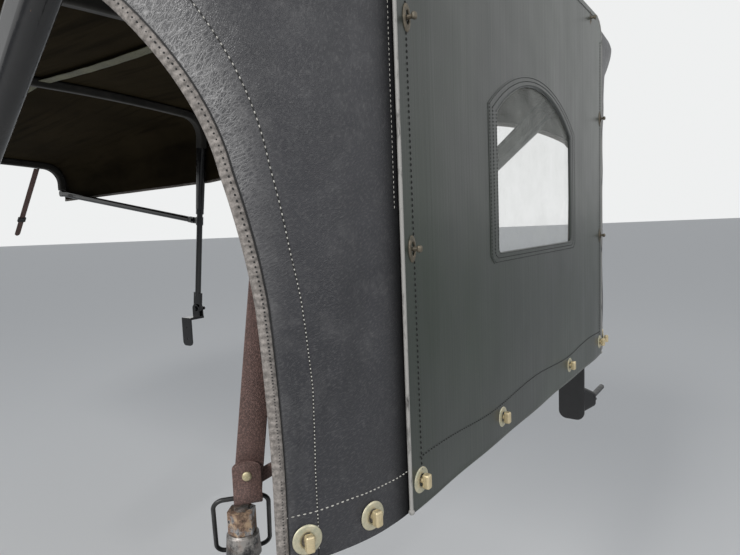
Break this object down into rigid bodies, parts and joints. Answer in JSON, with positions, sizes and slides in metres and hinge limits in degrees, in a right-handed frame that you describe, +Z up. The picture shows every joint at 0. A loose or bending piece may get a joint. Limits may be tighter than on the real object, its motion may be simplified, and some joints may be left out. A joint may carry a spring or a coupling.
{
  "type": "folding top of a touring car",
  "caption": "Raised folding cloth top of an open touring car: roof on hinged bows, wrap-round rear quarters and a buttoned rear curtain with a window.",
  "frame": {"origin": "the middle of the lower row of curtain fasteners, on the top rail at the back of the car's body", "axes": "+X to the front of the car, +Y to its left, +Z up"},
  "size_m": [3.1245, 1.39, 1.0282],
  "materials": {
    "cover_cloth": "pebbled coated cloth, creased",
    "curtain_cloth": "smooth satin cloth",
    "window_sheet": "clouded flexible sheet",
    "black_paint": "gloss black, chipped at the lower fittings",
    "bow_cover": "brown-olive cloth over the wood",
    "brass": "dull, worn",
    "dark_brass": "dark bronze",
    "rusted_steel": "rusted",
    "strap_leather": "brown pebbled strap",
    "wire": "black wire",
    "webbing": "light olive webbing"
  },
  "bodies": {
    "body_irons": {"rear_iron_left": "black_paint", "rear_iron_right": "black_paint", "front_iron_left": "black_paint", "front_iron_right": "black_paint", "clamp_bolt_left": "black_paint", "clamp_bolt_right": "black_paint", "saddle_iron_left": "black_paint", "saddle_iron_right": "black_paint", "saddle_nut_left": "rusted_steel", "saddle_nut_right": "rusted_steel", "pivot_spacers": "black_paint", "pivot_nuts": "black_paint", "rear_curtain": "curtain_cloth", "window_binding": "curtain_cloth", "window_pane": "window_sheet", "quarter_left": "cover_cloth", "quarter_right": "cover_cloth", "back_strap_left": "strap_leather", "back_strap_right": "strap_leather", "strap_rivet_left": "brass", "strap_rivet_right": "brass", "strap_ring_left": "wire", "strap_ring_right": "wire", "edge_washers": "brass", "edge_buttons": "dark_brass", "hem_washers": "brass", "hem_buttons": "brass"},
    "rear_bow": {"rear_bow": "bow_cover", "rear_socket_left": "black_paint", "rear_socket_right": "black_paint", "deck_rear": "cover_cloth", "webbing_rear": "webbing"},
    "third_bow": {"third_bow": "bow_cover", "third_socket_left": "black_paint", "third_socket_right": "black_paint", "deck_mid": "cover_cloth", "webbing_mid": "webbing"},
    "main_bow": {"main_bow": "bow_cover", "main_socket_left": "black_paint", "main_socket_right": "black_paint", "main_post_left": "black_paint", "main_post_right": "black_paint", "deck_front": "cover_cloth", "webbing_front": "webbing"},
    "front_bow": {"front_bow": "bow_cover", "front_arm_left": "black_paint", "front_arm_right": "black_paint", "front_strap_left": "strap_leather", "front_strap_right": "strap_leather", "front_buckle_left": "wire", "front_buckle_right": "wire"}
  },
  "joints": [
    {"name": "fold", "type": "hinge", "parent": "body_irons", "child": "rear_bow", "pos_m": [0.9, 0, -0.02], "axis": [0, -1, 0], "range_deg": [0, 47.5], "deforming": ["rear_curtain", "window_binding", "window_pane", "quarter_left", "quarter_right", "back_strap_left", "back_strap_right", "strap_rivet_left", "strap_rivet_right", "strap_ring_left", "strap_ring_right", "edge_washers", "edge_buttons", "hem_washers", "hem_buttons"]},
    {"name": "third_bow_fold", "type": "hinge", "parent": "rear_bow", "child": "third_bow", "pos_m": [0.9, 0, -0.02], "axis": [0, -1, 0], "range_deg": [0, 33.91], "deforming": ["deck_rear", "webbing_rear"]},
    {"name": "main_bow_carry", "type": "slide", "parent": "third_bow", "child": "main_bow", "axis": [-0.9985, 0, -0.0543], "range_m": [0, 0.7343], "deforming": ["deck_mid", "webbing_mid"]},
    {"name": "front_bow_fold", "type": "hinge", "parent": "main_bow", "child": "front_bow", "pos_m": [1.69747, 0, 0.33157], "axis": [0, -1, 0], "range_deg": [0, 89.31], "deforming": ["deck_front", "webbing_front"]}
  ],
  "couplings": [
    {"joint": "third_bow_fold", "follows": "fold", "ratio": 0.71368},
    {"joint": "main_bow_carry", "follows": "fold", "m_per_rad": 0.88515},
    {"joint": "front_bow_fold", "follows": "fold", "ratio": 1.88}
  ]
}
